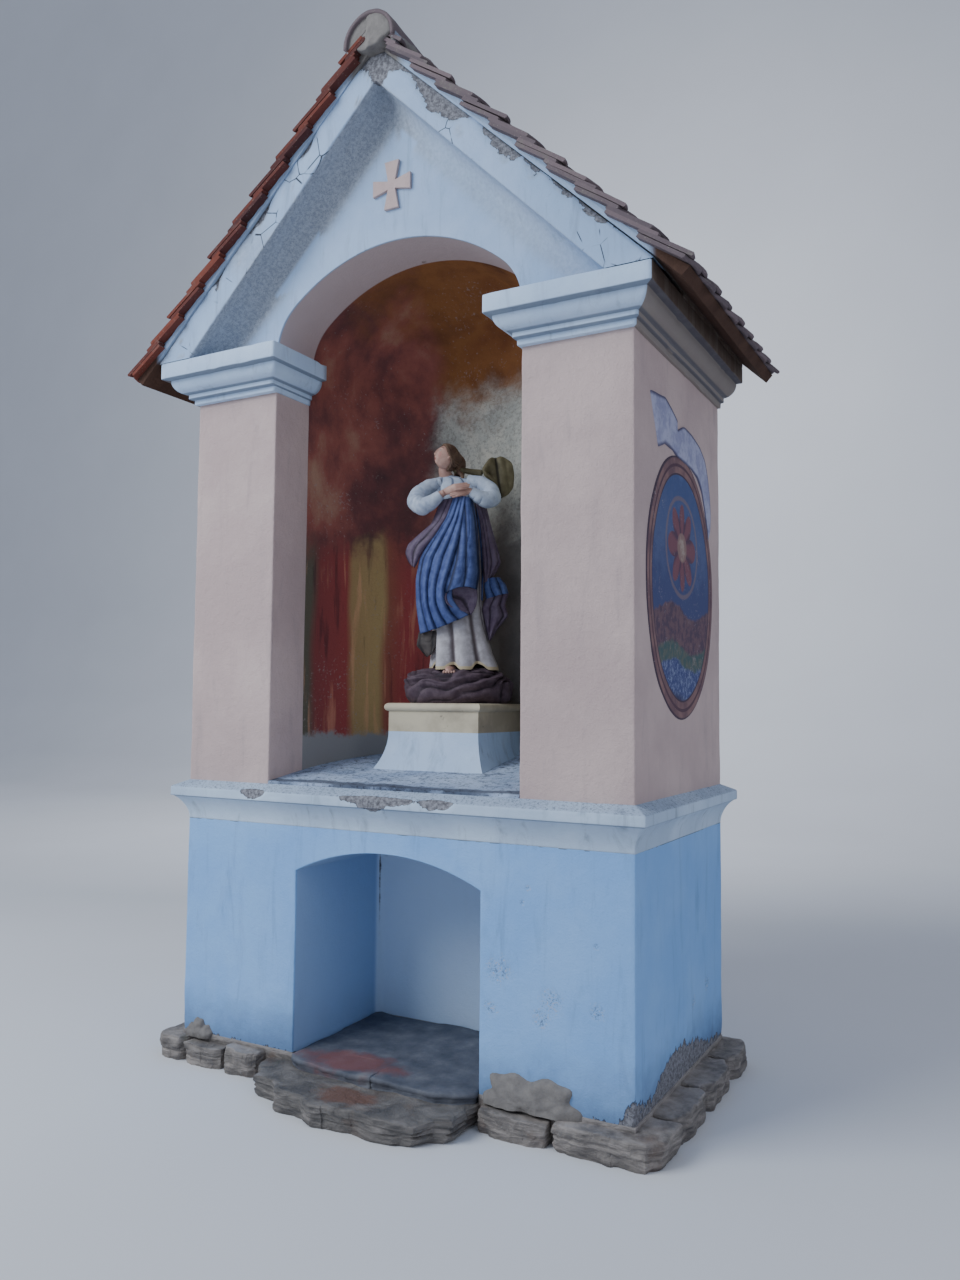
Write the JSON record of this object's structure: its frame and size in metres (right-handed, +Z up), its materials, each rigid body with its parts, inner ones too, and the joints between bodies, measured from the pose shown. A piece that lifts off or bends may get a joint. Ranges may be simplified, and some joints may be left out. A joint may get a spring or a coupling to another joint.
{
  "type": "wayside shrine",
  "caption": "Plastered masonry wayside shrine with a low niche in the base, an open upper niche with half dome and statue on a pedestal, moulded cornices and a steep tiled saddle roof.",
  "frame": {"origin": "on the underside of the stone footing, in the middle of the plastered body", "axes": "+Z up, -Y out of the front with the niches, +X to the right seen from the front"},
  "size_m": [2.7698, 1.572, 4.5101],
  "materials": {
    "fieldstone": "rough split slate and schist, weathered",
    "slate_slab": "rough dark slab with reddish patch",
    "blue_plaster": "painted lime plaster, stained and peeling near the ground",
    "pink_plaster": "rough painted lime plaster",
    "white_plaster": "painted lime plaster, chipped and lichen spotted",
    "painted_plaster": "old wall painting, ochre and red-brown",
    "clay_tile": "weathered plain clay tiles with lichen",
    "mortar": "rough lime mortar",
    "cream_plaster": "smooth cream paint",
    "painted_cloud": "carved and painted",
    "painted_robe": "carved and painted",
    "painted_mantle": "carved and painted",
    "painted_sleeves": "carved and painted",
    "painted_skin": "carved and painted"
  },
  "bodies": {
    "root": {"footing_bed": "fieldstone", "footing_front": "fieldstone", "footing_left": "fieldstone", "footing_right": "fieldstone", "footing_back": "fieldstone", "threshold_stone": "fieldstone", "niche_floor_slab": "slate_slab", "base_left": "blue_plaster", "base_right": "blue_plaster", "base_back": "blue_plaster", "base_arch_head": "blue_plaster", "base_cornice": "white_plaster", "shelf_floor": "white_plaster", "left_pier": "pink_plaster", "right_pier": "pink_plaster", "left_side_wall": "pink_plaster", "left_corner_wall": "pink_plaster", "back_wall_left": "pink_plaster", "back_wall_right": "pink_plaster", "right_corner_wall": "pink_plaster", "right_side_wall": "pink_plaster", "left_impost": "white_plaster", "right_impost": "white_plaster", "left_cornice": "white_plaster", "right_cornice": "white_plaster", "gable_wall": "white_plaster", "raking_band_left": "white_plaster", "raking_band_right": "white_plaster", "gable_cross": "pink_plaster", "niche_vault": "painted_plaster", "left_eaves_course": "white_plaster", "right_eaves_course": "white_plaster", "back_gable": "white_plaster", "roof_left": "clay_tile", "roof_right": "clay_tile", "ridge_tiles": "clay_tile", "ridge_mortar": "mortar", "pedestal_foot": "white_plaster", "pedestal_block": "cream_plaster", "pedestal_cap": "cream_plaster", "statue_cloud": "painted_cloud", "statue_robe": "painted_robe", "statue_mantle": "painted_mantle", "statue_arms": "painted_sleeves", "statue_head": "painted_skin"}
  },
  "joints": []
}
